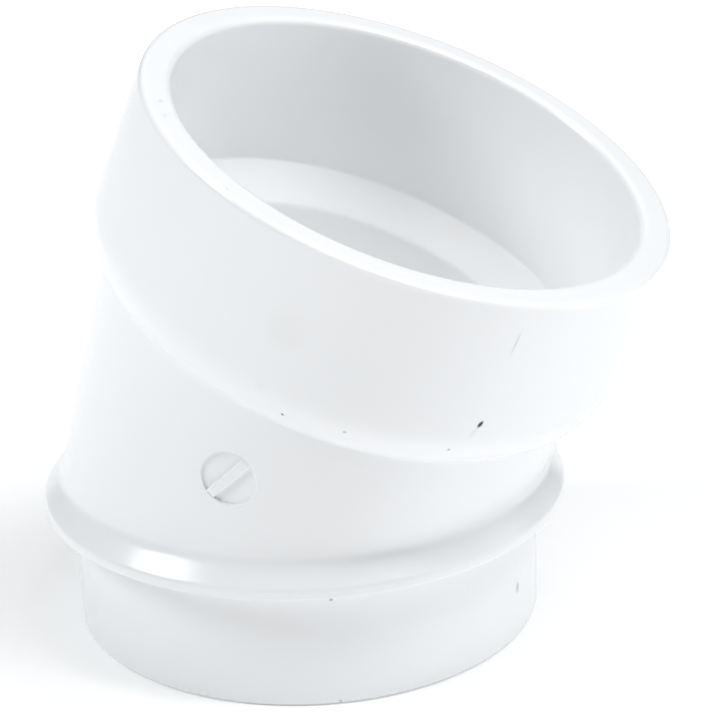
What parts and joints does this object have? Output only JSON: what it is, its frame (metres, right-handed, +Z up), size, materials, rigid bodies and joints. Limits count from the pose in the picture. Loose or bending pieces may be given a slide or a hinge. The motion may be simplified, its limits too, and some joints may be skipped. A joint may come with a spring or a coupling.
{
  "type": "street elbow",
  "caption": "White PVC drain-pipe street elbow, 22.5 degree bend: socket hub at one end, plain spigot with a flared stop collar at the other.",
  "frame": {"origin": "centre of the spigot's end face, on the spigot axis", "axes": "+Z up along the spigot axis into the fitting, +X towards the side the hub leans to, -Y out of the round insert mark"},
  "size_m": [0.0816, 0.0692, 0.0773],
  "materials": {
    "white_pvc": "smooth moulded, semi-gloss"
  },
  "bodies": {
    "root": {"spigot_end": "white_pvc", "stop_collar": "white_pvc", "bend_body": "white_pvc", "date_insert_rib": "white_pvc", "hub_shoulder": "white_pvc", "socket_hub": "white_pvc"}
  },
  "joints": []
}
